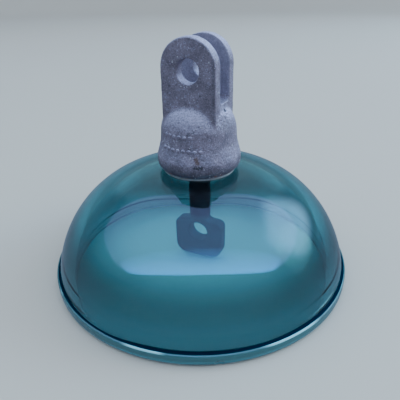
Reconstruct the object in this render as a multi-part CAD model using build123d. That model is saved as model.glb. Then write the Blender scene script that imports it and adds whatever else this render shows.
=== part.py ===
from build123d import *
import os

# Cap-and-pin suspension insulator unit: toughened glass shell, clevis cap, tongue pin.
# Millimetres. Z is the pull axis and Z = 0 the plane of the glass rim. Both coupling holes lie along Y.

# Couplings
COUPLING_SPACING = 140.0      # clevis hole to tongue hole: what one unit adds to a string
COUPLING_HOLE = 17.5          # diameter of both holes
HOLE_EDGE_ROUND = 0.8         # worn-in edges of both holes

# Glass shed
DISC_DIAMETER = 254.0
CROWN_HEIGHT = 89.5           # rim plane to the flat land round the cap
GLASS_WALL = 12.0
LIP_HEIGHT = 10.0             # upright band round the rim
LIP_STEP = 2.6                # how far the band stands out from the dome
LIP_FILLET = 1.3
LIP_EDGE_ROUND = 1.0
RIM_ROUND = 3.6
CHIP_WIDTH = 8.0
CHIP_DEPTH = 1.6
CHIP_ANGLE = -61.0            # degrees about Z from +X

# Glass head, inside the cap
HEAD_HEIGHT = 41.5            # crown land to the top of the head
HEAD_TOP_WALL = 9.0
HEAD_WALL = 7.5               # round the pin hole, at its narrow lower end
HEAD_TAPER = 1.3              # the head is this much wider at its top than at its neck
HEAD_ROUND = 8.0
NECK_FILLET = 3.0
BORE_TAPER = 0.8
BORE_TOP_ROUND = 4.0
BORE_MOUTH_ROUND = 3.0

# Pin
SHANK_DIAMETER = 17.5
PIN_HEAD_DIAMETER = 22.6
PIN_HEAD_FLARE = 10.0         # height of the cone that the cement grips
PIN_HEAD_BAND = 4.0
PIN_TIP_DIAMETER = 17.0
PIN_TIP_TAPER = 6.5
TONGUE_WIDTH = 43.0
TONGUE_THICKNESS = 12.7
TONGUE_END = 25.0             # hole to the lower end
TONGUE_SHOULDER = 11.5        # hole to the shoulders
SHOULDER_SLOPE = 1.5
TONGUE_LOWER_ROUND = 10.0
TONGUE_UPPER_ROUND = 6.0
TONGUE_EDGE_ROUND = 2.0
SHANK_FILLET = 6.0
NOSE_RISE = 4.5               # ball nose of the shank above the tongue's shoulders
NECK_SETBACK = 2.8            # tongue's neck inside the shank, each side

# Cement and cushions
PIN_CEMENT = 4.75             # round the shank
PIN_CUSHION = 3.5             # over the tip of the pin
CAP_CEMENT = 3.7              # round the head, at its top
CEMENT_COLLAR = 1.5           # between the crown land and the cap's lip
COLLAR_SETBACK = 0.4
HEAD_CUSHION = 3.0
HEAD_CUSHION_DIAMETER = 30.0

# Cap
CAP_WALL = 5.0
CAP_TOP_WALL = 11.0           # cavity to the floor of the clevis slot
CAVITY_ROUND = 10.0
MOUTH_GAP = 4.2               # glass neck to the cap's mouth
LIP_WALL = 4.5
BELL_WALL = 5.5
BELL_BULGE = 3.2              # bell over the body, in radius
BELL_RISE = 7.5               # lip to the widest part of the bell
BELL_BAND = 4.0
BELL_FLARE = 11.5
BELL_TOP_ROUND = 10.0
BODY_FOOT_ROUND = 22.0
CAVITY_LIP = 3.0
CAVITY_FLARE = 5.0
BODY_TAPER = 0.7
SHOULDER_RADIUS = 25.8
SHOULDER_DROP = 12.5          # start of the shoulder below the cavity's top

# Clevis ears
EAR_WIDTH = 44.0
EAR_FOOT_WIDTH = 44.4
EAR_THICKNESS = 10.0
EAR_END = 23.5                # hole to the top of the ear
SLOT_WIDTH = 19.0
SLOT_DEPTH = 24.0             # hole to the floor of the slot
SLOT_ROUND = 3.5
EAR_EDGE_ROUND = 1.6
EAR_INNER_ROUND = 1.0
EAR_FOOT_BLEND = 5.0

TOUCH = 1e-3                  # nearness at which an edge counts as lying on a plane

# Sizes that follow
rim_radius = DISC_DIAMETER / 2
bore_radius = SHANK_DIAMETER / 2 + PIN_CEMENT
bore_top_radius = bore_radius + BORE_TAPER
neck_radius = bore_radius + HEAD_WALL
head_radius = neck_radius + HEAD_TAPER
cavity_radius = head_radius + CAP_CEMENT
body_radius = cavity_radius + CAP_WALL
bell_radius = body_radius + BELL_BULGE
mouth_radius = neck_radius + MOUTH_GAP
lip_radius = mouth_radius + LIP_WALL
collar_radius = lip_radius - COLLAR_SETBACK

under_crown = CROWN_HEIGHT - GLASS_WALL
head_top = CROWN_HEIGHT + HEAD_HEIGHT
bore_top = head_top - HEAD_TOP_WALL
cement_foot = under_crown + BORE_MOUTH_ROUND
pin_top = bore_top - PIN_CUSHION
cap_foot = CROWN_HEIGHT + CEMENT_COLLAR
cavity_top = head_top + HEAD_CUSHION
shoulder_foot = cavity_top - SHOULDER_DROP
slot_floor = cavity_top + CAP_TOP_WALL
clevis_hole = slot_floor + SLOT_DEPTH
ear_top = clevis_hole + EAR_END
clevis_width = SLOT_WIDTH + 2 * EAR_THICKNESS
tongue_hole = clevis_hole - COUPLING_SPACING
tongue_foot = tongue_hole - TONGUE_END
tongue_shoulder = tongue_hole + TONGUE_SHOULDER
right_through = 2 * DISC_DIAMETER   # longer than the unit is wide or high, for cuts that leave it

STANDING = (Align.CENTER, Align.CENTER, Align.MIN)


def arc_radius(run, drop):
    """Radius of an arc that starts level and falls by drop over run."""
    return (run**2 + drop**2) / (2 * drop)


def rounded(face, rounds):
    """A flat face with the corner nearest to each (x, z) filleted to its radius."""
    for x, z, radius in rounds:
        corner = face.vertices().sort_by_distance(Vector(x, z, 0))[0]
        face = fillet(corner, radius)
    return face


def turned(face):
    """Solid of revolution about Z of a face whose x is the radius and whose y is the height."""
    return revolve(Plane.XZ * face, Axis.Z)


def along_y(face, depth):
    """A face whose x and y are X and Z, extruded by depth evenly to both sides of the XZ plane."""
    return extrude(Plane.XZ * face, depth / 2, both=True)


def disc(radius, foot, height):
    """Plain disc about Z that stands at the height of its foot."""
    return Pos(0, 0, foot) * Cylinder(radius, height, align=STANDING)


def shed():
    """The dome with its upright lip, as one ring section turned about the axis."""
    groove_radius = rim_radius - LIP_STEP
    outer = arc_radius(groove_radius - collar_radius, CROWN_HEIGHT - LIP_HEIGHT)
    inner = outer - GLASS_WALL
    rim_inside = collar_radius + (inner**2 - (CROWN_HEIGHT - outer) ** 2) ** 0.5
    section = make_face([
        RadiusArc((collar_radius, CROWN_HEIGHT), (groove_radius, LIP_HEIGHT), outer),
        Polyline((groove_radius, LIP_HEIGHT), (rim_radius, LIP_HEIGHT), (rim_radius, 0), (rim_inside, 0)),
        RadiusArc((rim_inside, 0), (collar_radius, under_crown), -inner),
        Polyline(
            (collar_radius, under_crown), (0, under_crown), (0, CROWN_HEIGHT), (collar_radius, CROWN_HEIGHT),
        ),
    ])
    return turned(rounded(section, (
        (groove_radius, LIP_HEIGHT, LIP_FILLET),
        (rim_radius, LIP_HEIGHT, LIP_EDGE_ROUND),
        (rim_radius, 0, RIM_ROUND),
        (rim_inside, 0, RIM_ROUND),
    )))


def chip():
    """Scallop broken out of the lip's lower edge, as a ball that bites into it."""
    ball = ((CHIP_WIDTH / 2) ** 2 + CHIP_DEPTH**2) / (2 * CHIP_DEPTH)
    reach = rim_radius + ball - CHIP_DEPTH
    return Rot(0, 0, CHIP_ANGLE) * Pos(reach, 0, RIM_ROUND / 2) * Sphere(ball)


def head():
    """The thimble that stands in the cap, still without its pin hole."""
    section = make_face(Polyline(
        (0, under_crown), (collar_radius, under_crown), (collar_radius, CROWN_HEIGHT),
        (neck_radius, CROWN_HEIGHT), (head_radius, head_top), (0, head_top), close=True,
    ))
    return turned(rounded(section, (
        (neck_radius, CROWN_HEIGHT, NECK_FILLET),
        (head_radius, head_top, HEAD_ROUND),
    )))


def pin_hole():
    """The hole that the pin is cemented into, with its rounded mouth."""
    below = under_crown - BORE_MOUTH_ROUND
    wide = bore_radius + 2 * BORE_MOUTH_ROUND
    section = make_face(Polyline(
        (0, below), (wide, below), (wide, under_crown), (bore_radius, under_crown),
        (bore_top_radius, bore_top), (0, bore_top), close=True,
    ))
    return turned(rounded(section, (
        (bore_radius, under_crown, BORE_MOUTH_ROUND),
        (bore_top_radius, bore_top, BORE_TOP_ROUND),
    )))


def glass_shell():
    """Head and shed in one piece of toughened glass."""
    return shed() + head() - pin_hole() - chip()


def shank():
    """Round part of the pin, from its ball nose in the tongue up to the flared head in the cement."""
    radius = SHANK_DIAMETER / 2
    nose = tongue_shoulder + NOSE_RISE
    tip = pin_top - PIN_TIP_TAPER
    band = tip - PIN_HEAD_BAND
    flare = band - PIN_HEAD_FLARE
    section = make_face([
        RadiusArc((0, nose - radius), (radius, nose), -radius),
        Polyline(
            (radius, nose), (radius, flare), (PIN_HEAD_DIAMETER / 2, band), (PIN_HEAD_DIAMETER / 2, tip),
            (PIN_TIP_DIAMETER / 2, pin_top), (0, pin_top), (0, nose - radius),
        ),
    ])
    return turned(section)


def tongue():
    """Flat forged end of the pin, with square shoulders that sweep up into the shank."""
    half = TONGUE_WIDTH / 2
    corner = tongue_shoulder - SHOULDER_SLOPE
    neck = SHANK_DIAMETER / 2 - NECK_SETBACK
    sweep_top = tongue_shoulder + SHANK_FILLET + NOSE_RISE
    outline = make_face(Polyline(
        (-neck, sweep_top), (-neck, tongue_shoulder), (-half, corner), (-half, tongue_foot),
        (half, tongue_foot), (half, corner), (neck, tongue_shoulder), (neck, sweep_top), close=True,
    ))
    for side in (-1, 1):
        outline = rounded(outline, (
            (side * neck, tongue_shoulder, SHANK_FILLET),
            (side * half, corner, TONGUE_UPPER_ROUND),
            (side * half, tongue_foot, TONGUE_LOWER_ROUND),
        ))
    plate = along_y(outline, TONGUE_THICKNESS)
    rims = [
        edge for edge in plate.faces().filter_by(Axis.Y).edges()
        if edge.bounding_box().min.Z < sweep_top - TOUCH
    ]
    return fillet(rims, TONGUE_EDGE_ROUND)


def bored(piece, height):
    """A piece with a coupling hole drilled along Y at a height, the hole's edges eased."""
    drilled = piece - along_y(Pos(0, height) * Circle(COUPLING_HOLE / 2), right_through)
    rims = [
        edge for edge in drilled.edges().filter_by(GeomType.CIRCLE)
        if abs(edge.radius - COUPLING_HOLE / 2) < TOUCH and abs(edge.arc_center.Z - height) < TOUCH
    ]
    return fillet(rims, HOLE_EDGE_ROUND)


def pin():
    """Forged steel pin: shank and tongue in one, with its coupling hole."""
    return bored(shank() + tongue(), tongue_hole)


def pin_cushion():
    """Compressible disc that stands between the tip of the pin and the glass."""
    return disc(bore_top_radius - BORE_TOP_ROUND, pin_top, PIN_CUSHION)


def pin_cement():
    """Cement that fills the pin hole round the shank."""
    above_mouth = disc(bore_top_radius + PIN_CEMENT, cement_foot, bore_top - cement_foot)
    return (pin_hole() & above_mouth) - shank() - pin_cushion()


def head_cushion():
    """Compressible disc between the top of the glass head and the cap."""
    return disc(HEAD_CUSHION_DIAMETER / 2, head_top, HEAD_CUSHION)


def cavity():
    """Inside of the cap: a mouth narrower than the bell above it, which keys the cement."""
    flare_foot = cap_foot + CAVITY_LIP
    wide = flare_foot + CAVITY_FLARE
    narrow = wide + BELL_BAND + BELL_FLARE
    section = make_face(Polyline(
        (0, cap_foot), (mouth_radius, cap_foot), (mouth_radius, flare_foot),
        (bell_radius - BELL_WALL, wide), (bell_radius - BELL_WALL, wide + BELL_BAND),
        (cavity_radius, narrow), (cavity_radius, cavity_top), (0, cavity_top), close=True,
    ))
    return turned(rounded(section, ((cavity_radius, cavity_top, CAVITY_ROUND),)))


def cap_cement():
    """Cement between the head and the cap, down to a narrow collar on the crown of the glass."""
    collar = disc(collar_radius, CROWN_HEIGHT, CEMENT_COLLAR)
    return cavity() + collar - head() - head_cushion()


def cap_body():
    """Cast thimble of the cap, solid: turned-in lip, bell, slightly tapered body and domed shoulder."""
    widest = cap_foot + BELL_RISE
    turn_in = arc_radius(BELL_RISE, bell_radius - lip_radius)
    band_top = widest + BELL_BAND
    body_foot = band_top + BELL_FLARE
    neck = body_radius - BODY_TAPER
    crown = shoulder_foot + SHOULDER_RADIUS
    section = make_face([
        RadiusArc((lip_radius, cap_foot), (bell_radius, widest), -turn_in),
        Polyline(
            (bell_radius, widest), (bell_radius, band_top), (body_radius, body_foot), (neck, shoulder_foot),
        ),
        RadiusArc((neck, shoulder_foot), (neck - SHOULDER_RADIUS, crown), -SHOULDER_RADIUS),
        Polyline((neck - SHOULDER_RADIUS, crown), (0, crown), (0, cap_foot), (lip_radius, cap_foot)),
    ])
    return turned(rounded(section, (
        (bell_radius, band_top, BELL_TOP_ROUND),
        (body_radius, body_foot, BODY_FOOT_ROUND),
    )))


def clevis_block():
    """Both ears before the slot is cut: round eyes on a foot that narrows into the cap."""
    eye = Pos(0, ear_top - EAR_WIDTH / 2) * Circle(EAR_WIDTH / 2)
    foot = Pos(0, shoulder_foot) * Rectangle(EAR_FOOT_WIDTH, EAR_EDGE_ROUND)
    block = along_y(make_hull(eye.edges() + foot.edges()), clevis_width)
    return fillet(block.faces().filter_by(Axis.Y).edges(), EAR_EDGE_ROUND)


def blended_casting():
    """Body and clevis block in one, with a fillet all round where the block leaves the shoulder."""
    casting = cap_body() + clevis_block()
    seam = [
        edge for edge in casting.edges().filter_by(GeomType.BSPLINE)
        if shoulder_foot + TOUCH < edge.bounding_box().min.Z < shoulder_foot + SHOULDER_RADIUS
    ]
    return fillet(seam, EAR_FOOT_BLEND)


def slot():
    """Room for the tongue of the next unit, with rounded corners along its floor."""
    room = Pos(0, 0, slot_floor) * Box(right_through, SLOT_WIDTH, right_through, align=STANDING)
    return fillet(room.edges().filter_by(Axis.X).sort_by(Axis.Z)[:2], SLOT_ROUND)


def slotted(casting):
    """The casting with the slot cut, and the ears' edges along the slot rounded."""
    forked = casting - slot()
    lips = []
    for edge in forked.edges():
        box = edge.bounding_box()
        on_wall = abs(box.max.Y - box.min.Y) < TOUCH and abs(abs(box.max.Y) - SLOT_WIDTH / 2) < TOUCH
        if on_wall and box.max.Z > slot_floor + SLOT_ROUND + TOUCH:
            lips.append(edge)
    return fillet(lips, EAR_INNER_ROUND)


def cap():
    """Malleable iron cap: body and ears in one casting, slotted, bored and hollow for the head."""
    return bored(slotted(blended_casting()), clevis_hole) - cavity()


NODES = {
    "cap": cap,
    "glass_shell": glass_shell,
    "pin": pin,
    "cap_cement": cap_cement,
    "pin_cement": pin_cement,
    "head_cushion": head_cushion,
    "pin_cushion": pin_cushion,
}

if __name__ == "__main__":
    os.makedirs("parts", exist_ok=True)
    for name, build in NODES.items():
        export_step(build(), f"parts/{name}.step")
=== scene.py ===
"""Looks of a cap-and-pin suspension insulator unit: toughened glass, cast clevis cap, forged tongue pin."""
import logging
import math
from dataclasses import dataclass
from enum import Enum
from typing import Any, Mapping, Sequence

import bmesh
import bpy
from bpy.types import ID, Collection, Material, Mesh, Node, NodeSocket, NodeTree, Object
from mathutils import Matrix, Vector


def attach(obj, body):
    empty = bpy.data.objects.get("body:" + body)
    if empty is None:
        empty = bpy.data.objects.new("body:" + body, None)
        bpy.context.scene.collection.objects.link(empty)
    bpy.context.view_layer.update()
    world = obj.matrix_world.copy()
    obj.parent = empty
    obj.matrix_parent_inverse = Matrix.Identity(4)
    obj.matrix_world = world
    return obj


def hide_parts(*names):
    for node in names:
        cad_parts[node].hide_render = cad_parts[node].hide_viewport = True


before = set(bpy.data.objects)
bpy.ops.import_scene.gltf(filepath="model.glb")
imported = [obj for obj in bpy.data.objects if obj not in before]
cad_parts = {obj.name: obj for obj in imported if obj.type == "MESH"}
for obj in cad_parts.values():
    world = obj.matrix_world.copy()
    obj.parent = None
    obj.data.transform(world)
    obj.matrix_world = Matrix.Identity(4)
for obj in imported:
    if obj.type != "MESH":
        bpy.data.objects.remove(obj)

LOG = logging.getLogger("insulator")
BODY = "root"
TURN = 2 * math.pi
WELD = 1e-6

Colour = tuple[float, float, float]
Place = tuple[float, float, float]
Band = tuple[float, float]
Step = tuple[float, float, float]
Feed = Any


# ---- node trees


class Signal:
    """A varying value in a node tree: the socket that gives it and the bench that owns the tree."""

    def __init__(self, bench: "NodeBench", socket: NodeSocket) -> None:
        """Keeps the socket with its bench."""
        self.bench = bench
        self.socket = socket

    def _math(self, operation: str, *feeds: Feed) -> "Signal":
        """One Math node: its operation, and the values of its inputs in order."""
        kind = "ShaderNodeMath"
        return self.bench.node(kind, dict(enumerate(feeds)), operation=operation)[0]

    def __add__(self, other: Feed) -> "Signal":
        """Sum."""
        return self._math("ADD", self, other)

    __radd__ = __add__

    def __mul__(self, other: Feed) -> "Signal":
        """Product."""
        return self._math("MULTIPLY", self, other)

    __rmul__ = __mul__

    def __sub__(self, other: Feed) -> "Signal":
        """Difference."""
        return self._math("SUBTRACT", self, other)

    def __rsub__(self, other: Feed) -> "Signal":
        """Difference from a plain number."""
        return self._math("SUBTRACT", other, self)

    def __truediv__(self, other: Feed) -> "Signal":
        """Quotient."""
        return self._math("DIVIDE", self, other)

    def __pow__(self, other: Feed) -> "Signal":
        """Power."""
        return self._math("POWER", self, other)

    def over(self, level: Feed) -> "Signal":
        """One where the value is above a level, and zero elsewhere."""
        return self._math("GREATER_THAN", self, level)

    def whole(self) -> "Signal":
        """The nearest whole number."""
        return self._math("ROUND", self)

    def ramp(self, low: float, high: float, top: float = 1.0) -> "Signal":
        """A smooth step.

        Args:
            low: value that gives zero.
            high: value that gives the top. It may be below low, which turns the step round.
            top: what the step rises to.

        Returns:
            Zero to the top.
        """
        (start, first), (end, last) = sorted(((low, 0.0), (high, top)))
        feeds = {"Value": self, "From Min": start, "From Max": end, "To Min": first, "To Max": last}
        return self.bench.node("ShaderNodeMapRange", feeds, interpolation_type="SMOOTHSTEP")["Result"]


class Placed:
    """A node on a bench, whose outputs are read by name or number."""

    def __init__(self, bench: "NodeBench", node: Node) -> None:
        """Keeps the node with its bench."""
        self.bench = bench
        self.node = node

    def __getitem__(self, key: str | int) -> Signal:
        """The output of that name or number."""
        return Signal(self.bench, pick_socket(self.node.outputs, key))


def pick_socket(sockets: Sequence[NodeSocket], key: str | int) -> NodeSocket:
    """A node's socket by number, or by name among those in use.

    Args:
        sockets: the node's inputs or outputs.
        key: number or name.

    Returns:
        The socket.
    """
    if isinstance(key, int):
        return sockets[key]
    return next(socket for socket in sockets if socket.name == key and socket.enabled)


class NodeBench:
    """A node tree, and the one way in which any node is put on it."""

    def __init__(self, tree: NodeTree) -> None:
        """Works on that tree."""
        self.tree = tree

    def node(self, kind: str, feeds: Mapping[str | int, Feed] | None = None, **settings: Any) -> Placed:
        """Puts a node on the tree.

        Args:
            kind: the node's type.
            feeds: the values or signals of its inputs, by name or number.
            settings: its own settings, which are set first.

        Returns:
            The node, for its outputs to be read.
        """
        made = self.tree.nodes.new(kind)
        for name, value in settings.items():
            setattr(made, name, value)
        self.feed(made, feeds or {})
        return Placed(self, made)

    def feed(self, node: Node, feeds: Mapping[str | int, Feed]) -> None:
        """Sets or links inputs of a node.

        Args:
            node: the node.
            feeds: values or signals by the input's name or number. None leaves an input alone.
        """
        for key, value in feeds.items():
            socket = pick_socket(node.inputs, key)
            if isinstance(value, Signal):
                self.tree.links.new(value.socket, socket)
            elif value is not None:
                socket.default_value = value

    def noise(self, place: Signal, scale: float, detail: float = 3.0, roughness: float = 0.5) -> Signal:
        """Soft noise from zero to one: features per metre, octaves, and the weight of the finer ones."""
        feeds = {"Vector": place, "Scale": scale, "Detail": detail, "Roughness": roughness}
        return self.node("ShaderNodeTexNoise", feeds)[0]

    def cells(self, place: Signal, scale: float) -> Signal:
        """Distance to the nearest of many scattered points, with that many cells per metre."""
        return self.node("ShaderNodeTexVoronoi", {"Vector": place, "Scale": scale})["Distance"]

    def mix(self, factor: Feed, first: Feed, second: Feed) -> Signal:
        """A colour that turns from the first into the second as the factor goes from zero to one."""
        feeds = {"Factor": factor, "A": self.paint(first), "B": self.paint(second)}
        return self.node("ShaderNodeMix", feeds, data_type="RGBA", clamp_factor=True)["Result"]

    def vector(self, operation: str, *feeds: Feed, output: str = "Vector") -> Signal:
        """One Vector Math node: its operation, the values of its inputs in order, and the output."""
        return self.node("ShaderNodeVectorMath", dict(enumerate(feeds)), operation=operation)[output]

    def stretch(self, direction: Feed, length: Feed) -> Signal:
        """A vector times a length."""
        return self.vector("SCALE", direction, None, None, length)

    def gap(self, first: Feed, second: Feed) -> Signal:
        """Distance between two places."""
        return self.vector("DISTANCE", first, second, output="Value")

    def spin(self, vector: Feed, angle: Feed) -> Signal:
        """A vector turned about Z by an angle in radians."""
        feeds = {"Vector": vector, "Angle": angle}
        return self.node("ShaderNodeVectorRotate", feeds, rotation_type="Z_AXIS")["Vector"]

    def split(self, vector: Feed) -> tuple[Signal, Signal, Signal]:
        """X, Y and Z of a vector."""
        parts = self.node("ShaderNodeSeparateXYZ", {0: vector})
        return parts["X"], parts["Y"], parts["Z"]

    def join(self, x: Feed, y: Feed, z: Feed) -> Signal:
        """The vector of an X, a Y and a Z."""
        return self.node("ShaderNodeCombineXYZ", {"X": x, "Y": y, "Z": z})["Vector"]

    @staticmethod
    def paint(value: Feed) -> Feed:
        """A plain colour with its alpha; a signal is passed on."""
        return value if isinstance(value, Signal) else (*value, 1.0)


# ---- finishes


class Slot(Enum):
    """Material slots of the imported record."""

    CAP = "cap_iron"
    GLASS = "glass"
    PIN = "pin_steel"
    CEMENT = "cement"
    CUSHION = "cushion"


class Canvas(NodeBench):
    """A material's node tree, with its shader and the places that patterns are read at."""

    def __init__(self, name: str) -> None:
        """Starts a material with one Principled shader.

        Args:
            name: the material's name.
        """
        self.material = bpy.data.materials.new(name)
        self.material.use_nodes = True
        super().__init__(self.material.node_tree)
        self.tree.nodes.clear()
        self.shader = self.node("ShaderNodeBsdfPrincipled")
        self.output = self.node("ShaderNodeOutputMaterial", {"Surface": self.shader["BSDF"]})
        self.place = self.node("ShaderNodeTexCoord")["Object"]

    def uprightness(self) -> Signal:
        """How far the surface faces up, from minus one to one."""
        return self.split(self.node("ShaderNodeNewGeometry")["Normal"])[2]

    def bump(self, height: Signal, depth: float) -> Signal:
        """A normal bumped by a height from zero to one, where one stands for that depth in metres."""
        feeds = {"Height": height, "Distance": depth, "Strength": 1.0}
        return self.node("ShaderNodeBump", feeds)["Normal"]

    def reach_and_height(self) -> tuple[Signal, Signal]:
        """Distance of the place from the part's axis, and its height."""
        across, along, height = self.split(self.place)
        return (across * across + along * along) ** 0.5, height

    def blend(self, factor: Feed, first: Signal, second: Signal) -> Signal:
        """A shader that turns from the first into the second as the factor goes from zero to one."""
        return self.node("ShaderNodeMixShader", {0: factor, 1: first, 2: second})["Shader"]

    def set(self, feeds: Mapping[str, Feed]) -> None:
        """Sets inputs of the Principled shader."""
        self.feed(self.shader.node, feeds)


@dataclass(frozen=True)
class TealGlass:
    """Toughened teal glass: tinted darker round its crown, at its waist and at its foot as painted shade,
    nearly solid in its lip, with a painted dark line of shade in the groove, painted highlights along the lip
    and faint waves.
    """

    film: Colour = (0.44, 0.76, 0.83)
    # The crown, waist and foot tints are painted shade: they make the glass darker there.
    crown_shade_tint: Colour = (0.42, 0.55, 0.57)
    crown_reach: Band = (0.042, 0.066)
    waist_shade_tint: Colour = (0.26, 0.25, 0.275)
    waist_height: Band = (0.036, 0.062)
    foot_shade_tint: Colour = (0.46, 0.49, 0.54)
    foot_height: Band = (0.012, 0.034)
    tint: Colour = (0.10, 0.64, 0.70)
    density: float = 75.0
    index: float = 1.52
    wave_scale: float = 22.0
    wave_depth: float = 0.00012
    # The groove colour paints a dark line of shade in the groove over the lip.
    groove: Colour = (0.0, 0.010, 0.028)
    groove_height: Band = (0.0095, 0.0125)
    groove_reach: Band = (0.119, 0.1258)
    swell_scale: float = 8.0
    swell_band: Band = (0.42, 0.58)
    thin_share: float = 0.35
    groove_shade_band: Band = (1.0, 0.6)
    lip_tone: Colour = (0.050, 0.155, 0.18)
    # Lighter streaks on the lip's top edge are painted highlights.
    highlight_tone: Colour = (0.30, 0.75, 0.90)
    streak_scale: float = 16.0
    streak_band: Band = (0.52, 0.62)
    streak_height: float = 0.0090
    lip_height: float = 0.0102
    lip_radius: float = 0.1165
    lip_share: float = 0.8
    lip_roughness: float = 0.1

    def make(self) -> Material:
        """Builds the material, with a painted dark line of shade in the groove over the lip and painted
        highlights on the lip's top edge.

        Returns:
            The material.
        """
        canvas = Canvas("teal_glass")
        reach, height = canvas.reach_and_height()
        normal = canvas.bump(canvas.noise(canvas.place, self.wave_scale, detail=1.0), self.wave_depth)
        # Painted shade: the tint darkens the glass at its foot, in a band at its waist and round its crown
        # near the cap.
        film = canvas.mix(height.ramp(*self.foot_height), self.foot_shade_tint, self.waist_shade_tint)
        film = canvas.mix(height.ramp(*self.waist_height), film, self.film)
        canvas.set({
            "Base Color": canvas.mix(reach.ramp(*self.crown_reach), self.crown_shade_tint, film),
            "Roughness": 0.0,
            "IOR": self.index,
            "Transmission Weight": 1.0,
            "Normal": normal,
        })
        # Painted highlights: lighter streaks along the lip's top edge stand in for reflections.
        edge = height.over(self.streak_height) * reach.over(self.groove_reach[1])
        highlight_streaks = canvas.noise(canvas.place, self.streak_scale, detail=1.0).ramp(*self.streak_band) * edge
        body = canvas.node("ShaderNodeBsdfPrincipled", {
            "Base Color": canvas.mix(highlight_streaks, self.lip_tone, self.highlight_tone),
            "Roughness": self.lip_roughness, "IOR": self.index, "Normal": normal,
        })["BSDF"]
        outside = 1 - canvas.node("ShaderNodeNewGeometry")["Backfacing"]
        lip = (1 - height.over(self.lip_height)) * reach.over(self.lip_radius) * outside
        surface = canvas.blend(lip * self.lip_share, canvas.shader["BSDF"], body)
        # Painted shade: a dark line in the groove over the lip, of wandering thickness.
        low, high = self.groove_height
        inner, outer = self.groove_reach
        swell = canvas.noise(canvas.place, self.swell_scale, detail=0.0).ramp(*self.swell_band)
        rise = (height - low) / (swell * (1 - self.thin_share) + self.thin_share) / (high - low)
        groove_shade_mask = height.over(low) * rise.ramp(*self.groove_shade_band) * reach.over(inner) * (1 - reach.over(outer))
        dark = canvas.node("ShaderNodeBsdfDiffuse", {"Color": (*self.groove, 1.0)})["BSDF"]
        surface = canvas.blend(groove_shade_mask, surface, dark)
        feeds = {"Color": (*self.tint, 1.0), "Density": self.density}
        depth = canvas.node("ShaderNodeVolumeAbsorption", feeds)["Volume"]
        canvas.feed(canvas.output.node, {"Surface": surface, "Volume": depth})
        return canvas.material


@dataclass(frozen=True)
class Mark:
    """A round stain, or a round patch of painted light or painted shade, with a ragged edge."""

    centre: Place
    radius: float
    colour: Colour
    strength: float


RUST: Colour = (0.26, 0.09, 0.06)
EARTH: Colour = (0.11, 0.065, 0.05)
# Dark spots: pits, pocks and a dark bar under a brown stain.
DARK_SPOT: Colour = (0.02, 0.02, 0.028)
# Pale tone for zinc bloom and for painted light.
CHALK_AND_PAINTED_LIGHT: Colour = (0.53, 0.55, 0.84)
# Tone for patches of painted shade.
PAINTED_SHADE: Colour = (0.150, 0.135, 0.175)


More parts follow.
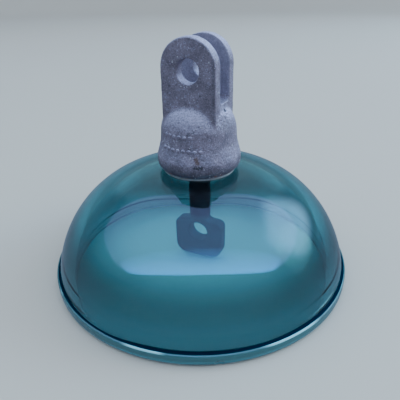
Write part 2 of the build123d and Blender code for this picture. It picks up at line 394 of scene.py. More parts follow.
@dataclass(frozen=True)
class CastZinc:
    """Weathered hot-dip zinc on a sand casting: mottled and stained in places, painted paler where it faces
    the sky and inside the slot as painted light, and painted darker beside the near ear's edge and towards
    the skirt's foot as painted shade.
    """

    shade: Colour = (0.137, 0.118, 0.166)
    light: Colour = (0.220, 0.192, 0.270)
    # Pale tone for bloom in specks and pocks, and for painted light on up-facing faces, in the slot and in
    # two patches.
    bloom_and_painted_light: Colour = CHALK_AND_PAINTED_LIGHT
    # Dark tone for grime in hollows and pits, and for painted shade beside the ear's edge and at the skirt's
    # foot.
    grime_and_shade: Colour = (0.035, 0.035, 0.048)
    mottle_scale: float = 95.0
    mottle_band: Band = (0.3, 0.7)
    grain_scale: float = 1000.0
    grain_depth: float = 0.00042
    sky: Step = (0.05, 0.85, 0.75)
    sky_grain: Band = (0.4, 1.2)
    speck_scale: float = 520.0
    specks: Step = (0.22, 0.12, 0.5)
    speck_patch: Band = (0.4, 0.6)
    hollows: Step = (0.52, 0.30, 0.6)
    crests: Step = (0.56, 0.72, 0.45)
    pock_scale: float = 250.0
    pock_edges: Step = (0.30, 0.24, 0.15)
    pock_pits: Step = (0.17, 0.10, 0.45)
    pock_patch_scale: float = 70.0
    pock_patch: Band = (0.46, 0.56)
    # The skirt is painted darker towards its foot: painted shade.
    skirt_shade: Step = (0.1035, 0.0955, 0.5)
    skirt_shade_wander: float = 0.004
    # Inside the slot the walls are painted lighter as painted light, and the floor keeps less painted sky
    # light, as painted shade.
    slot_reach: float = 0.0100
    slot_height: float = 0.1480
    slot_light_share: float = 0.2
    floor_height: float = 0.1445
    slot_floor_shade_share: float = 0.7
    # A dark band just inside the near ear's right edge is painted shade.
    rim: Step = (0.0175, 0.0200, 0.4)
    rim_height: Band = (0.1440, 0.1780)
    rim_face: float = 0.0186
    rim_end: float = 0.0212
    mark_core: float = 0.4
    metal: float = 0.25
    roughness: Band = (0.6, 0.25)
    marks: tuple[Mark, ...] = (
        Mark((0.0110, -0.0309, 0.1085), 0.0026, EARTH, 0.75),
        Mark((0.0118, -0.0310, 0.1058), 0.0024, EARTH, 0.75),
        Mark((0.0105, -0.0326, 0.1021), 0.0020, DARK_SPOT, 0.7),
        Mark((0.0128, -0.0317, 0.1020), 0.0020, DARK_SPOT, 0.7),
        Mark((0.0150, -0.0307, 0.1022), 0.0020, DARK_SPOT, 0.7),
        Mark((0.0234, -0.0220, 0.0929), 0.0018, RUST, 0.8),
        Mark((0.0261, -0.0183, 0.0927), 0.0016, RUST, 0.8),
        Mark((-0.0111, -0.0305, 0.0928), 0.0020, RUST, 0.8),
        Mark((0.0046, -0.0300, 0.1266), 0.0024, DARK_SPOT, 0.5),
        Mark((0.0082, -0.0291, 0.1283), 0.0018, DARK_SPOT, 0.6),
        # Painted light: two pale patches on the shoulder beside the slot.
        Mark((0.0224, -0.0058, 0.1410), 0.0058, CHALK_AND_PAINTED_LIGHT, 0.32),
        Mark((0.0232, 0.0022, 0.1402), 0.0052, CHALK_AND_PAINTED_LIGHT, 0.20),
        # Painted shade: two dim patches on the shoulder below the slot.
        Mark((0.0262, -0.0095, 0.1315), 0.0090, PAINTED_SHADE, 0.55),
        Mark((0.0285, 0.0010, 0.1300), 0.0080, PAINTED_SHADE, 0.35),
        Mark((0.0223, -0.0022, 0.1391), 0.0019, DARK_SPOT, 0.95),
        Mark((-0.0146, -0.0195, 0.1581), 0.0016, DARK_SPOT, 0.45),
        Mark((-0.0089, -0.0195, 0.1592), 0.0013, DARK_SPOT, 0.45),
        Mark((0.0100, -0.0195, 0.1524), 0.0015, DARK_SPOT, 0.35),
    )

    def make(self) -> Material:
        """Builds the material.

        Returns:
            The material.
        """
        canvas = Canvas("cast_zinc")
        place = canvas.place
        across, along, height = canvas.split(place)
        mottle = canvas.noise(place, self.mottle_scale, detail=5.0, roughness=0.6)
        grain = canvas.noise(place, self.grain_scale, detail=4.0, roughness=0.65)
        # The slot's floor keeps less of the painted sky light: painted shade.
        within = 1 - (along * along).over(self.slot_reach**2)
        shelter = within * height.over(self.floor_height) * self.slot_floor_shade_share
        least, gain = self.sky_grain
        patchy = canvas.noise(place, self.pock_patch_scale, detail=1.0).ramp(*self.pock_patch)
        specks = canvas.cells(place, self.speck_scale).ramp(*self.specks)
        pocks = canvas.cells(place, self.pock_scale)
        # Painted shade: a dark band just inside the near ear's right edge.
        low, high = self.rim_height
        rim = across.ramp(*self.rim) * height.over(low) * (1 - height.over(high))
        layers = (
            (mottle.ramp(*self.mottle_band), self.light),
            # Painted sky light: faces that look up are painted paler.
            (canvas.uprightness().ramp(*self.sky) * (1 - shelter) * (least + gain * grain), self.bloom_and_painted_light),
            (specks * mottle.ramp(*self.speck_patch), self.bloom_and_painted_light),
            (grain.ramp(*self.hollows), self.grime_and_shade),
            (grain.ramp(*self.crests), self.bloom_and_painted_light),
            (pocks.ramp(*self.pock_edges) * patchy, self.bloom_and_painted_light),
            (pocks.ramp(*self.pock_pits) * patchy, self.grime_and_shade),
            # Painted light: the slot's walls painted lighter.
            (within * height.over(self.slot_height) * self.slot_light_share, self.bloom_and_painted_light),
            # Painted shade beside the near ear's edge.
            (rim * (1 - along.over(-self.rim_face)) * (1 - across.over(self.rim_end)), self.grime_and_shade),
            # Painted shade: the skirt darker towards its foot.
            ((height + self.skirt_shade_wander * (mottle - 0.5)).ramp(*self.skirt_shade), self.grime_and_shade),
        )
        body: Feed = self.shade
        for factor, colour in layers:
            body = canvas.mix(factor, body, colour)
        for mark in self.marks:
            wander = canvas.gap(place, mark.centre) + (grain - 0.5) * mark.radius
            stain = wander.ramp(mark.radius, mark.radius * self.mark_core, mark.strength)
            body = canvas.mix(stain, body, mark.colour)
        base, rise = self.roughness
        canvas.set({
            "Base Color": body,
            "Metallic": self.metal,
            "Roughness": base + rise * grain,
            "Normal": canvas.bump(grain, self.grain_depth),
        })
        return canvas.material


@dataclass(frozen=True)
class ZincBead:
    """Bright zinc that stands proud in small beads."""

    shade: Colour = (0.21, 0.215, 0.26)
    light: Colour = (0.42, 0.43, 0.52)
    scale: float = 300.0
    band: Band = (0.35, 0.65)
    metal: float = 0.3
    roughness: float = 0.5

    def make(self) -> Material:
        """Builds the material.

        Returns:
            The material.
        """
        canvas = Canvas("zinc_bead")
        spread = canvas.noise(canvas.place, self.scale, detail=1.0)
        body = canvas.mix(spread.ramp(*self.band), self.shade, self.light)
        canvas.set({"Base Color": body, "Metallic": self.metal, "Roughness": self.roughness})
        return canvas.material


@dataclass(frozen=True)
class ForgedZinc:
    """Dull galvanised forging, painted near black as painted shade."""

    # Near-black tones are painted shade for the pin inside the glass.
    shade: Colour = (0.016, 0.014, 0.024)
    light: Colour = (0.045, 0.038, 0.060)
    scale: float = 140.0
    band: Band = (0.3, 0.7)
    grain_scale: float = 700.0
    depth: float = 0.00008
    metal: float = 0.4
    roughness: Band = (0.45, 0.25)

    def make(self) -> Material:
        """Builds the material.

        Returns:
            The material.
        """
        canvas = Canvas("forged_zinc")
        mottle = canvas.noise(canvas.place, self.scale, detail=5.0, roughness=0.6)
        grain = canvas.noise(canvas.place, self.grain_scale, detail=3.0)
        base, rise = self.roughness
        canvas.set({
            "Base Color": canvas.mix(mottle.ramp(*self.band), self.shade, self.light),
            "Metallic": self.metal,
            "Roughness": base + rise * mottle,
            "Normal": canvas.bump(grain, self.depth),
        })
        return canvas.material


@dataclass(frozen=True)
class Mortar:
    """Cured cement, coated with black bitumen on the faces that meet glass or metal."""

    pale: Colour = (0.25, 0.27, 0.31)
    deep: Colour = (0.22, 0.23, 0.24)
    bitumen: Colour = (0.012, 0.012, 0.014)
    scale: float = 500.0
    band: Band = (0.35, 0.65)
    depth: float = 0.0001
    roughness: Band = (0.45, 0.45)

    def make(self, name: str, bare_radius: float, bare_height: float) -> Material:
        """Builds the material.

        Args:
            name: the material's name.
            bare_radius: cement further out than this is bare.
            bare_height: and so is cement lower than this.

        Returns:
            The material.
        """
        canvas = Canvas(name)
        reach, height = canvas.reach_and_height()
        bare = 1 - (1 - reach.over(bare_radius)) * height.over(bare_height)
        grit = canvas.noise(canvas.place, self.scale, detail=4.0)
        cement = canvas.mix(grit.ramp(*self.band), self.deep, self.pale)
        base, rise = self.roughness
        canvas.set({
            "Base Color": canvas.mix(bare, self.bitumen, cement),
            "Roughness": base + rise * bare,
            "Normal": canvas.bump(grit, self.depth),
        })
        return canvas.material


@dataclass(frozen=True)
class PressedCork:
    """Dark compressible disc."""

    shade: Colour = (0.05, 0.035, 0.025)
    light: Colour = (0.16, 0.11, 0.07)
    scale: float = 700.0
    band: Band = (0.1, 0.6)
    depth: float = 0.0001
    roughness: float = 0.9

    def make(self) -> Material:
        """Builds the material.

        Returns:
            The material.
        """
        canvas = Canvas("pressed_cork")
        crumbs = canvas.cells(canvas.place, self.scale)
        canvas.set({
            "Base Color": canvas.mix(crumbs.ramp(*self.band), self.shade, self.light),
            "Roughness": self.roughness,
            "Normal": canvas.bump(crumbs, self.depth),
        })
        return canvas.material


@dataclass(frozen=True)
class PaleFloor:
    """Plain pale studio floor."""

    tone: Colour = (0.50, 0.475, 0.44)
    drift: float = 0.03
    scale: float = 3.0
    roughness: float = 0.75

    def make(self) -> Material:
        """Builds the material.

        Returns:
            The material.
        """
        canvas = Canvas("pale_floor")
        cloud = canvas.noise(canvas.place, self.scale, detail=2.0)
        dim = tuple(part * (1 - self.drift) for part in self.tone)
        canvas.set({"Base Color": canvas.mix(cloud, dim, self.tone), "Roughness": self.roughness})
        return canvas.material


# ---- geometry tools


class Section:
    """A profile in the XZ plane, drawn point by point: x is the radius and z the height, in metres."""

    def __init__(self) -> None:
        """Starts an empty profile."""
        self.points: list[Band] = []

    def to(self, x: float, z: float) -> "Section":
        """Goes straight to a point."""
        self.points.append((x, z))
        return self

    def along(self, x: float, z: float, steps: int) -> "Section":
        """Goes straight to a point in even steps.

        Args:
            x: radius at the end.
            z: height at the end.
            steps: how many points.

        Returns:
            The profile.
        """
        start_x, start_z = self.points[-1]
        for step in range(1, steps + 1):
            share = step / steps
            self.to(start_x + (x - start_x) * share, start_z + (z - start_z) * share)
        return self

    def arc(self, centre: Band, radius: float, start: float, end: float, steps: int) -> "Section":
        """Goes along an arc.

        Args:
            centre: its centre.
            radius: its radius.
            start: angle of its first point, in degrees from +X towards +Z.
            end: angle of its last point.
            steps: how many stretches.

        Returns:
            The profile.
        """
        for step in range(steps + 1):
            angle = math.radians(start + (end - start) * step / steps)
            self.to(centre[0] + radius * math.cos(angle), centre[1] + radius * math.sin(angle))
        return self

    def as_curve(self, name: str) -> Object:
        """A poly curve through the points.

        Args:
            name: the object's name.

        Returns:
            The curve, which stays out of the scene.
        """
        curve = bpy.data.curves.new(name, "CURVE")
        curve.dimensions = "3D"
        spline = curve.splines.new("POLY")
        spline.points.add(len(self.points) - 1)
        for point, (x, z) in zip(spline.points, self.points):
            point.co = (x, 0.0, z, 1.0)
        return bpy.data.objects.new(name, curve)


def put_in_scene(name: str, data: ID) -> Object:
    """Puts a new object in the scene.

    Args:
        name: its name.
        data: its mesh, light or camera.

    Returns:
        The object.
    """
    made = bpy.data.objects.new(name, data)
    bpy.context.scene.collection.objects.link(made)
    return made


def plain_mesh(piece: Object) -> Mesh:
    """A new mesh of a piece as its modifiers leave it."""
    graph = bpy.context.evaluated_depsgraph_get()
    return bpy.data.meshes.new_from_object(piece.evaluated_get(graph), depsgraph=graph)


class Recipe:
    """A Geometry Nodes tree with named inputs, and the run that turns it into a plain mesh."""

    def __init__(self, name: str, inputs: Mapping[str, str]) -> None:
        """Starts the tree.

        Args:
            name: the tree's name.
            inputs: socket type of each named input apart from the finish.
        """
        self.tree = bpy.data.node_groups.new(name, "GeometryNodeTree")
        self.sockets = {
            key: self.tree.interface.new_socket(key, in_out="INPUT", socket_type=f"NodeSocket{kind}")
            for key, kind in {**inputs, "Finish": "Material"}.items()
        }
        self.tree.interface.new_socket("Geometry", in_out="OUTPUT", socket_type="NodeSocketGeometry")
        self.bench = NodeBench(self.tree)
        self.asked = self.bench.node("NodeGroupInput")

    def position(self) -> Signal:
        """Where each point lies."""
        return self.bench.node("GeometryNodeInputPosition")[0]

    def ball(self, segments: int, rings: int) -> Signal:
        """A ball with a radius of one metre."""
        feeds = {"Segments": segments, "Rings": rings, "Radius": 1.0}
        return self.bench.node("GeometryNodeMeshUVSphere", feeds)["Mesh"]

    def end(self, geometry: Signal) -> None:
        """Closes the tree with Realize Instances and Set Material.

        Args:
            geometry: what the tree made.
        """
        whole = self.bench.node("GeometryNodeRealizeInstances", {0: geometry})[0]
        feeds = {"Geometry": whole, "Material": self.asked["Finish"]}
        dressed = self.bench.node("GeometryNodeSetMaterial", feeds)[0]
        self.bench.node("NodeGroupOutput", {0: dressed})

    def run(self, name: str, values: Mapping[str, Any], start: Mesh | None = None) -> Object:
        """Runs the tree once.

        Args:
            name: the new piece's name.
            values: the named inputs' values.
            start: mesh that goes in, if the tree takes one.

        Returns:
            The new piece, a plain mesh in the scene.
        """
        piece = put_in_scene(name, start or bpy.data.meshes.new(name))
        modifier = piece.modifiers.new(name, "NODES")
        modifier.node_group = self.tree
        for key, value in values.items():
            modifier[self.sockets[key].identifier] = value
        made = plain_mesh(piece)
        piece.modifiers.clear()
        piece.data = made
        made.name = name
        return piece


class Lathe(Recipe):
    """Turns a profile about Z."""

    def __init__(self) -> None:
        """Builds the tree."""
        super().__init__("lathe", {"Profile": "Object", "Points": "Int", "Segments": "Int"})
        bench, asked = self.bench, self.asked
        grid = bench.node("GeometryNodeMeshGrid", {
            "Size X": 1.0, "Size Y": 1.0, "Vertices X": asked["Segments"] + 1, "Vertices Y": asked["Points"],
        })["Mesh"]
        place = self.position()
        around, down, _ = bench.split(place)
        profile = bench.node("GeometryNodeObjectInfo", {"Object": asked["Profile"]})["Geometry"]
        spot = bench.node("GeometryNodeSampleIndex", {
            "Geometry": profile, "Value": place, "Index": ((down + 0.5) * (asked["Points"] - 1)).whole(),
        }, data_type="FLOAT_VECTOR", domain="POINT")["Value"]
        turned = bench.spin(spot, (around + 0.5) * TURN)
        shaped = bench.node("GeometryNodeSetPosition", {"Geometry": grid, "Position": turned})[0]
        self.end(bench.node("GeometryNodeMergeByDistance", {"Geometry": shaped, "Distance": WELD})[0])

    def turn(self, name: str, section: Section, segments: int, finish: Material) -> Object:
        """Turns a section.

        Args:
            name: the new piece's name.
            section: its profile.
            segments: steps round the axis.
            finish: its material.

        Returns:
            The turned piece.
        """
        profile = section.as_curve(f"{name}_section")
        values = {"Profile": profile, "Points": len(section.points), "Segments": segments, "Finish": finish}
        piece = self.run(name, values)
        bpy.data.objects.remove(profile)
        return piece


class Scallop(Recipe):
    """Bites a ball-shaped scallop out of a closed mesh."""

    FINENESS = 5

    def __init__(self) -> None:
        """Builds the tree."""
        super().__init__("scallop", {"Geometry": "Geometry", "Place": "Vector", "Radius": "Float"})
        bench, asked = self.bench, self.asked
        feeds = {"Radius": asked["Radius"], "Subdivisions": self.FINENESS}
        ball = bench.node("GeometryNodeMeshIcoSphere", feeds)["Mesh"]
        tool = bench.node("GeometryNodeTransform", {"Geometry": ball, "Translation": asked["Place"]})[0]
        self.end(bench.node("GeometryNodeMeshBoolean", {
            "Mesh 1": asked["Geometry"], "Mesh 2": tool,
        }, operation="DIFFERENCE", solver="EXACT")[0])


class CastSkin(Recipe):
    """Roughens the outside of a casting, inwards only: lumps, sand grain and one coarse patch."""

    SHIELD = "outside"
    START = 0.0006
    SOFTENING = 3
    LUMP_SCALE = 170.0
    SAND_SCALE = 620.0
    SAND_BAND = (0.3, 0.7)
    PIT_SCALE = 240.0
    PIT_BAND = (0.26, 0.08)
    PIT_PATCH_SCALE = 60.0
    PIT_PATCH = (0.5, 0.6)
    COARSE_EDGE = (1.0, 0.5)
    COARSE_BAND = (0.35, 0.65)

    def __init__(self) -> None:
        """Builds the tree."""
        super().__init__("cast_skin", {
            "Geometry": "Geometry", "Lump Depth": "Float", "Sand Depth": "Float", "Bore Reach": "Float",
            "Coarse Place": "Vector", "Coarse Radius": "Float", "Coarse Depth": "Float",
        })
        bench, asked, place = self.bench, self.asked, self.position()
        normal = bench.node("GeometryNodeInputNormal")[0]
        hit = bench.node("GeometryNodeRaycast", {
            "Target Geometry": asked["Geometry"],
            "Source Position": bench.vector("ADD", place, bench.stretch(normal, self.START)),
            "Ray Direction": normal,
            "Ray Length": asked["Bore Reach"],
        })["Is Hit"]
        feeds = {"Value": 1 - hit, "Iterations": self.SOFTENING}
        outside = bench.node("GeometryNodeBlurAttribute", feeds, data_type="FLOAT")["Value"]
        lumps = bench.noise(place, self.LUMP_SCALE, detail=2.0)
        sand = bench.noise(place, self.SAND_SCALE, detail=3.0, roughness=0.7)
        patch = bench.noise(place, self.PIT_PATCH_SCALE, detail=1.0).ramp(*self.PIT_PATCH)
        pits = bench.cells(place, self.PIT_SCALE).ramp(*self.PIT_BAND) * patch
        away = bench.gap(place, asked["Coarse Place"])
        coarse = (away / asked["Coarse Radius"]).ramp(*self.COARSE_EDGE)
        depth = (lumps * asked["Lump Depth"] + sand.ramp(*self.SAND_BAND) * asked["Sand Depth"]
                 + pits * asked["Sand Depth"] + coarse * sand.ramp(*self.COARSE_BAND) * asked["Coarse Depth"])
        moved = bench.node("GeometryNodeSetPosition", {
            "Geometry": asked["Geometry"], "Offset": bench.stretch(normal, -1.0 * depth * outside),
        })[0]
        self.end(bench.node("GeometryNodeStoreNamedAttribute", {
            "Geometry": moved, "Name": self.SHIELD, "Value": outside,
        }, data_type="FLOAT", domain="POINT")[0])


class Beads(Recipe):
    """Scatters small half-sunk beads over the outside of a casting."""

    CLUMP_SCALE = 90.0
    CLUMP_BAND = (0.42, 0.62)
    OPEN = 0.9
    SIZE_POWER = 3
    FLATNESS = 0.6
    FACETS = (6, 4)

    def __init__(self) -> None:
        """Builds the tree."""
        super().__init__("beads", {
            "Geometry": "Geometry", "Density": "Float", "Small": "Float", "Large": "Float",
            "Top": "Float", "Seed": "Int",
        })
        bench, asked, place = self.bench, self.asked, self.position()
        height = bench.split(place)[2]
        feeds = {"Name": CastSkin.SHIELD}
        shield = bench.node("GeometryNodeInputNamedAttribute", feeds, data_type="FLOAT")["Attribute"]
        clump = bench.noise(place, self.CLUMP_SCALE, detail=2.0).ramp(*self.CLUMP_BAND)
        free = shield.over(self.OPEN) * (1 - height.over(asked["Top"]))
        spread = bench.node("GeometryNodeDistributePointsOnFaces", {
            "Mesh": asked["Geometry"], "Density": asked["Density"] * clump * free, "Seed": asked["Seed"],
        }, distribute_method="RANDOM")
        feeds = {"Min": 0.0, "Max": 1.0, "Seed": asked["Seed"] + 1}
        size = bench.node("FunctionNodeRandomValue", feeds, data_type="FLOAT")["Value"] ** self.SIZE_POWER
        reach = asked["Small"] + (asked["Large"] - asked["Small"]) * size
        self.end(bench.node("GeometryNodeInstanceOnPoints", {
            "Points": spread["Points"], "Instance": self.ball(*self.FACETS), "Rotation": spread["Rotation"],
            "Scale": bench.join(reach, reach, reach * self.FLATNESS),
        })[0])


class DotRow(Recipe):
    """A row of plain cast dots round a casting at one height."""

    FACETS = (16, 8)

    def __init__(self) -> None:
        """Builds the tree."""
        super().__init__("dot_row", {
            "Geometry": "Geometry", "Count": "Int", "Start": "Float", "End": "Float", "Height": "Float",
            "Reach": "Float", "Radius": "Float", "Rise": "Float",
        })
        bench, asked = self.bench, self.asked
        line = bench.node("GeometryNodePoints", {"Count": asked["Count"]})[0]
        share = bench.node("GeometryNodeInputIndex")[0] / (asked["Count"] - 1)
        angle = asked["Start"] + (asked["End"] - asked["Start"]) * share
        out = bench.spin((1.0, 0.0, 0.0), angle)
        rise = bench.join(0.0, 0.0, asked["Height"])
        ray = bench.node("GeometryNodeRaycast", {
            "Target Geometry": asked["Geometry"],
            "Source Position": bench.vector("ADD", bench.stretch(out, asked["Reach"]), rise),
            "Ray Direction": bench.stretch(out, -1.0),
            "Ray Length": asked["Reach"],
        })
        feeds = {"Geometry": line, "Position": ray["Hit Position"]}
        placed = bench.node("GeometryNodeSetPosition", feeds)[0]
        facing = bench.node("FunctionNodeAlignRotationToVector", {"Vector": ray["Hit Normal"]}, axis="Z")[0]
        self.end(bench.node("GeometryNodeInstanceOnPoints", {
            "Points": placed, "Instance": self.ball(*self.FACETS), "Rotation": facing,
            "Scale": bench.join(asked["Radius"], asked["Radius"], asked["Rise"]),
        })[0])


def place_piece(piece: Object, slot: Slot, *nodes: str) -> None:
    """Lets a piece ride on the part and hides what it stands for.

    Args:
        piece: the piece.
        slot: its material slot; not used.
        nodes: CAD nodes that it replaces.
    """
    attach(piece, BODY)
    if nodes:
        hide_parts(*nodes)
    LOG.info("%s: %d faces", piece.name, len(piece.data.polygons))


def outward(mesh: Mesh) -> None:
    """Turns every face the other way if a closed mesh is inside out.

    Args:
        mesh: the closed mesh.
    """
    mesh.calc_loop_triangles()
    volume = sum(
        mesh.vertices[a].co.dot(mesh.vertices[b].co.cross(mesh.vertices[c].co))
        for a, b, c in (triangle.vertices for triangle in mesh.loop_triangles)
    )
    if volume < 0:
        mesh.flip_normals()


def smooth(mesh: Mesh, crease: float) -> None:
    """Shades a mesh smooth up to a crease angle in degrees."""
    mesh.shade_smooth()
    mesh.set_sharp_from_angle(angle=math.radians(crease))


def merged_copy(name: str) -> Mesh:
    """A copy of a CAD node's mesh with its triangles joined.

    Args:
        name: the node.

    Returns:
        A closed mesh.
    """
    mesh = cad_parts[name].data.copy()
    shape = bmesh.new()
    shape.from_mesh(mesh)
    bmesh.ops.remove_doubles(shape, verts=shape.verts, dist=WELD)
    shape.to_mesh(mesh)
    shape.free()
    return mesh


def even_mesh(mesh: Mesh, voxel: float) -> Mesh:
    """Covers a closed mesh with small even faces.

    Args:
        mesh: the closed mesh.
        voxel: size of a face, in metres.

    Returns:
        The new mesh.
    """
    guide = put_in_scene("guide", mesh)
    blank = put_in_scene("blank", mesh.copy())
    remesh = blank.modifiers.new("remesh", "REMESH")
    remesh.mode = "VOXEL"
    remesh.voxel_size = voxel
    wrap = blank.modifiers.new("wrap", "SHRINKWRAP")
    wrap.target = guide
    made = plain_mesh(blank)
    bpy.data.objects.remove(blank)
    bpy.data.objects.remove(guide)
    made.materials.clear()
    return made


def dress_node(name: str, finish: Material, crease: float = 35.0) -> None:
    """Gives a CAD node its finish.

    Args:
        name: the node.
        finish: its material.
        crease: angle in degrees from which an edge stays sharp; not used.
    """
    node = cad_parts[name]
    node.data.materials.clear()
    node.data.materials.append(finish)
    LOG.info("%s keeps its CAD shape", name)


# ---- sub-assemblies


@dataclass
class GlassShell:
    """The glass disc with its lip, the head in the cap and the pin hole, turned in one piece."""

    rim_radius: float = 0.127
    crown_height: float = 0.0895
    wall: float = 0.012
    collar_radius: float = 0.0293
    lip_height: float = 0.010
    lip_step: float = 0.0026
    lip_fillet: float = 0.0013
    lip_edge: float = 0.001
    rim_round: float = 0.0036
    head_top: float = 0.131
    neck_radius: float = 0.021
    head_radius: float = 0.0223
    head_round: float = 0.008
    neck_fillet: float = 0.003
    bore_radius: float = 0.0135
    bore_top_radius: float = 0.0143
    bore_top: float = 0.122
    bore_top_round: float = 0.004
    bore_mouth: float = 0.003
    bond: float = 0.00003
    chip_width: float = 0.008
    chip_depth: float = 0.0016
    chip_angle: float = -61.0
    segments: int = 360
    crease: float = 30.0

    def section(self) -> Section:
        """Draws the profile, from the top of the head down the outside and back up the inside.

        Returns:
            The profile.
        """
        groove = self.rim_radius - self.lip_step
        run, drop = groove - self.collar_radius, self.crown_height - self.lip_height
        outer = (run**2 + drop**2) / (2 * drop)
        inner = outer - self.wall
        hub = (self.collar_radius, self.crown_height - outer)
        root = self._beside(hub, outer + self.lip_fillet, self.lip_height + self.lip_fillet)
        heel = self._beside(hub, inner + self.rim_round, self.rim_round)
        bond = self.bond
        path = Section().to(0.0, self.head_top + bond)
        path.arc((self.head_radius - self.head_round, self.head_top - self.head_round),
                 self.head_round + bond, 90, -2, 10)
        path.arc((self.neck_radius + self.neck_fillet, self.crown_height + self.neck_fillet),
                 self.neck_fillet - bond, 178, 270, 8)
        path.to(self.collar_radius - 4 * bond, self.crown_height + bond)
        path.arc(hub, outer, 90, self._angle(hub, root), 84)
        path.arc(root, self.lip_fillet, self._angle(root, hub) % 360, 270, 6)
        path.arc((self.rim_radius - self.lip_edge, self.lip_height - self.lip_edge), self.lip_edge, 90, 0, 6)
        path.arc((self.rim_radius - self.rim_round, self.rim_round), self.rim_round, 0, -90, 10)
        path.arc(heel, self.rim_round, 270, self._angle(heel, hub) % 360, 10)
        path.arc(hub, inner, self._angle(hub, heel), 90, 64)
        path.arc((self.bore_radius + self.bore_mouth, self.crown_height - self.wall + self.bore_mouth),
                 self.bore_mouth, 270, 180, 8)
        path.arc((self.bore_top_radius - self.bore_top_round, self.bore_top - self.bore_top_round),
                 self.bore_top_round - bond, 0, 90, 8)
        path.to(0.0, self.bore_top - bond)
        return path

    @staticmethod
    def _beside(hub: Band, reach: float, height: float) -> Band:
        """The point at a height that lies a distance from the dome's hub."""
        return hub[0] + math.sqrt(reach**2 - (height - hub[1]) ** 2), height

    @staticmethod
    def _angle(start: Band, end: Band) -> float:
        """Direction in degrees from one point to another."""
        return math.degrees(math.atan2(end[1] - start[1], end[0] - start[0]))

    def build(self, finish: Material) -> Object:
        """Turns the glass and breaks the chip out of its lip.

        Args:
            finish: the glass.

        Returns:
            The disc.
        """
        ball = ((self.chip_width / 2) ** 2 + self.chip_depth**2) / (2 * self.chip_depth)
        reach = self.rim_radius + ball - self.chip_depth
        angle = math.radians(self.chip_angle)
        turned = Lathe().turn("glass_blank", self.section(), self.segments, finish)
        piece = Scallop().run("glass_disc", {
            "Place": (reach * math.cos(angle), reach * math.sin(angle), self.rim_round / 2),
            "Radius": ball,
            "Finish": finish,
        }, turned.data)
        bpy.data.objects.remove(turned)
        outward(piece.data)
        smooth(piece.data, self.crease)
        place_piece(piece, Slot.GLASS, "glass_shell")
        return piece


@dataclass
class ClevisCap:
    """The cast clevis cap: its sand-cast skin, the zinc beads on it, and two rows of plain cast dots."""

    voxel: float = 0.00075
    lump_depth: float = 0.0005
    sand_depth: float = 0.00018
    coarse_place: Place = (0.0232, -0.0085, 0.1375)
    coarse_radius: float = 0.011
    coarse_depth: float = 0.0007
    bore_reach: float = 0.075
    top: float = 0.1925
    bead_density: float = 90000.0
    bead_sizes: Band = (0.00018, 0.00062)
    bead_seed: int = 7
    dot_rows: tuple[tuple[float, int, float, float], ...] = (
        (0.1234, 6, -121.0, -79.0),
        (0.1132, 8, -123.0, -64.0),
    )
    dot_reach: float = 0.06
    dot_radius: float = 0.0017
    dot_rise: float = 0.0006
    crease: float = 60.0

    def build(self, finish: Material, bead_finish: Material) -> None:
        """Makes the casting, its beads and its dots.

        Args:
            finish: zinc of the casting.
            bead_finish: zinc of the beads.
        """
        blank = even_mesh(merged_copy("cap"), self.voxel)
        casting = CastSkin().run("cap_casting", {
            "Lump Depth": self.lump_depth, "Sand Depth": self.sand_depth,
            "Coarse Place": self.coarse_place, "Coarse Radius": self.coarse_radius,
            "Coarse Depth": self.coarse_depth, "Bore Reach": self.bore_reach, "Finish": finish,
        }, blank)
        beads = Beads().run("zinc_beads", {
            "Density": self.bead_density, "Small": self.bead_sizes[0], "Large": self.bead_sizes[1],
            "Top": self.top - 2 * self.bead_sizes[1], "Seed": self.bead_seed, "Finish": bead_finish,
        }, casting.data.copy())
        row = DotRow()
        for number, (height, count, start, end) in enumerate(self.dot_rows, 1):
            dots = row.run(f"cast_dots_{number}", {
                "Count": count, "Start": math.radians(start), "End": math.radians(end), "Height": height,
                "Reach": self.dot_reach, "Radius": self.dot_radius, "Rise": self.dot_rise, "Finish": finish,
            }, casting.data.copy())
            smooth(dots.data, self.crease)
            place_piece(dots, Slot.CAP)
        casting.data.attributes.remove(casting.data.attributes[CastSkin.SHIELD])
        smooth(casting.data, self.crease)
        smooth(beads.data, self.crease)
        place_piece(casting, Slot.CAP, "cap")
        place_piece(beads, Slot.CAP)


@dataclass
class HiddenFills:
    """The pin, the cement and the cushions, which keep their CAD shapes."""

    collar_bare_radius: float = 0.0288
    pin_cement_foot: float = 0.0806

    def build(self) -> None:
        """Dresses them."""
        dress_node("pin", ForgedZinc().make())
        mortar = Mortar()
        dress_node("cap_cement", mortar.make("collar_cement", self.collar_bare_radius, 0.0))
        dress_node("pin_cement", mortar.make("pin_cement", 1.0, self.pin_cement_foot))
        cork = PressedCork().make()
        dress_node("head_cushion", cork)
        dress_node("pin_cushion", cork)


class Role(Enum):
    """What a light panel is for."""

    LIGHT = "light"
    GLEAM = "gleam"
    WASH = "wash"
    INNER = "inner"


def aim(azimuth: float, elevation: float) -> Vector:
    """A direction one metre long: degrees from -Y towards +X, and degrees up from the ground."""
    turn, lift = math.radians(azimuth), math.radians(elevation)
    return Vector((math.sin(turn) * math.cos(lift), -math.cos(turn) * math.cos(lift), math.sin(lift)))


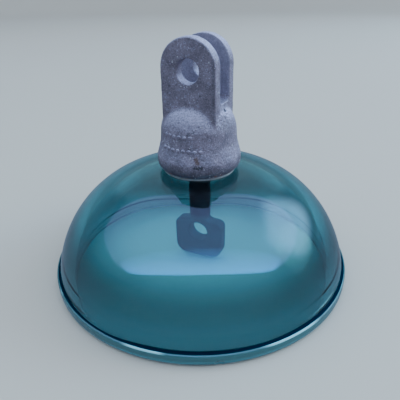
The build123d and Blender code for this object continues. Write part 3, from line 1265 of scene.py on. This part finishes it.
@dataclass(frozen=True)
class Softbox:
    """A soft light panel as seen from the part, brighter towards one end and fading out at its edges."""

    name: str
    azimuth: float
    elevation: float
    reach: float
    size: Band
    glow: float
    tint: Colour
    lean: Band = (0.0, 0.0)
    fade: float = 0.25
    tip: float | None = None
    role: Role = Role.LIGHT

    def hang(self, front: float, mirrors: Collection) -> None:
        """Hangs the panel, facing the part.

        Args:
            front: direction of the camera in the ground plane, in degrees from -Y towards +X.
            mirrors: the pieces that a gleam shows in.
        """
        data = bpy.data.lights.new(self.name, "AREA")
        data.shape = "RECTANGLE"
        data.size, data.size_y = self.size
        data.energy = self.glow * self.size[0] * self.size[1] * math.pi
        data.color = self.tint
        data.use_nodes = True
        self._shade(NodeBench(data.node_tree))
        panel = put_in_scene(self.name, data)
        turn = front + self.azimuth
        side = aim(turn + 90.0, 0.0)
        back = aim(turn, self.elevation if self.tip is None else self.tip)
        panel.matrix_world = (Matrix.Translation(aim(turn, self.elevation) * self.reach)
                              @ Matrix((side, back.cross(side), back)).transposed().to_4x4())
        panel.visible_camera = False
        panel.visible_diffuse = self.role in (Role.LIGHT, Role.WASH)
        panel.visible_glossy = self.role in (Role.LIGHT, Role.GLEAM)
        panel.visible_transmission = self.role is not Role.GLEAM
        if self.role is Role.GLEAM:
            panel.light_linking.receiver_collection = mirrors

    def _shade(self, bench: NodeBench) -> None:
        """Fades the panel towards its edges and makes it brighter towards one end.

        Args:
            bench: the light's node tree.
        """
        bench.tree.nodes.clear()
        right, up, _ = bench.split(bench.node("ShaderNodeNewGeometry")["Parametric"])
        across, along = right - 0.5, up - 0.5
        rim = ((across * 2) ** 4 + (along * 2) ** 4) ** 0.25
        strength = rim.ramp(1.0, 1.0 - self.fade) * (1 + across * self.lean[0] + along * self.lean[1])
        if self.role is Role.INNER:
            strength = strength * bench.node("ShaderNodeLightPath")["Diffuse Depth"].ramp(0.0, 1.0)
        glow = bench.node("ShaderNodeEmission", {"Color": (1.0, 1.0, 1.0, 1.0), "Strength": strength})
        bench.node("ShaderNodeOutputLight", {"Surface": glow["Emission"]})


@dataclass
class Studio:
    """Pale floor that curves up far off, soft panels, an even fill, and the camera."""

    azimuth: float = 23.9
    elevation: float = 27.8
    distance: float = 0.351
    target_height: float = 0.0577
    roll: float = 0.9
    focal_share: float = 403.8 / 400
    sensor: float = 36.0
    near: float = 0.01
    panels: tuple[Softbox, ...] = (
        Softbox("overhead_panel", 0.0, 84.4, 3.15, (14.0, 5.9), 0.72, (0.70, 0.72, 1.0),
                (0.4, 0.0), 0.12, 90.0),
        Softbox("overhead_wash", 0.0, 84.4, 3.2, (14.0, 5.9), 1.0, (0.70, 0.98, 1.0), role=Role.WASH),
        Softbox("overhead_gleam", 0.0, 84.4, 3.1, (14.0, 5.9), 1.7, (0.15, 0.29, 1.0),
                (0.6, -0.4), 0.12, 90.0, Role.GLEAM),
        Softbox("low_gleam", 0.0, 54.2, 3.76, (12.0, 2.1), 8.0, (0.02, 0.36, 1.0),
                (0.3, -2.0), 0.15, 90.0, Role.GLEAM),
        Softbox("right_panel", 108.0, 32.0, 3.6, (3.6, 3.0), 4.9, (0.28, 0.64, 1.0), (0.0, 0.0), 0.5),
        Softbox("right_wash", 96.0, 20.0, 4.5, (3.0, 3.0), 4.9, (0.94, 0.96, 0.92), role=Role.WASH),
        Softbox("front_wash", 45.0, 15.0, 4.5, (3.0, 3.0), 1.2, (1.0, 0.90, 0.95), role=Role.WASH),
        Softbox("back_panel", 180.0, 32.0, 5.0, (8.0, 4.0), 0.2, (0.66, 0.86, 1.0)),
        Softbox("back_wash", 180.0, 32.0, 5.1, (8.0, 4.0), 0.65, (0.90, 0.90, 0.88), role=Role.WASH),
        Softbox("inner_fill", 0.0, 80.0, 3.3, (9.0, 9.0), 6.5, (0.86, 0.90, 1.0), role=Role.INNER),
    )
    sky: Colour = (0.21, 0.275, 0.39)
    floor_radius: float = 4.0
    floor_bend: float = 2.0
    floor_drop: float = 0.0002
    floor_steps: tuple[int, int, int] = (12, 16, 3)
    floor_segments: int = 96
    floor_crease: float = 60.0
    wall_height: float = 3.0

    def build(self, glass: Object) -> None:
        """Builds everything round the part.

        Args:
            glass: the piece that the gleams show in.
        """
        self._camera()
        mirrors = bpy.data.collections.new("mirrors")
        mirrors.objects.link(glass)
        for panel in self.panels:
            panel.hang(self.azimuth, mirrors)
        self._world()
        self._floor()

    def _camera(self) -> None:
        """Sets the camera up."""
        data = bpy.data.cameras.new("camera")
        data.sensor_width = self.sensor
        data.lens = self.sensor * self.focal_share
        data.clip_start = self.near
        camera = put_in_scene("camera", data)
        back = aim(self.azimuth, self.elevation)
        turned = back.to_track_quat("Z", "Y").to_matrix().to_4x4()
        level = Matrix.Rotation(math.radians(-self.roll), 4, "Z")
        place = Matrix.Translation(back * self.distance + Vector((0, 0, self.target_height)))
        camera.matrix_world = place @ turned @ level
        bpy.context.scene.camera = camera

    def _world(self) -> None:
        """Fills the rest of the studio with dim light."""
        world = bpy.data.worlds.new("studio")
        world.use_nodes = True
        bench = NodeBench(world.node_tree)
        bench.tree.nodes.clear()
        glow = bench.node("ShaderNodeBackground", {"Color": (*self.sky, 1.0), "Strength": 1.0})
        bench.node("ShaderNodeOutputWorld", {"Surface": glow["Background"]})
        bpy.context.scene.world = world

    def _floor(self) -> None:
        """Lays the floor, which bends up into a low wall."""
        bend, drop = self.floor_bend, self.floor_drop
        flat_steps, bend_steps, wall_steps = self.floor_steps
        section = Section().to(0.0, -drop).along(self.floor_radius, -drop, flat_steps)
        section.arc((self.floor_radius, bend - drop), bend, -90, 0, bend_steps)
        section.along(self.floor_radius + bend, self.wall_height, wall_steps)
        floor = Lathe().turn("floor", section, self.floor_segments, PaleFloor().make())
        smooth(floor.data, self.floor_crease)
        floor.visible_glossy = False


def main() -> None:
    """Builds the studio and the part's looks."""
    logging.basicConfig(level=logging.INFO, format="%(name)s %(message)s")
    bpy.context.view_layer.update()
    disc = GlassShell().build(TealGlass().make())
    ClevisCap().build(CastZinc().make(), ZincBead().make())
    HiddenFills().build()
    Studio().build(disc)


if __name__ == "__main__":
    main()
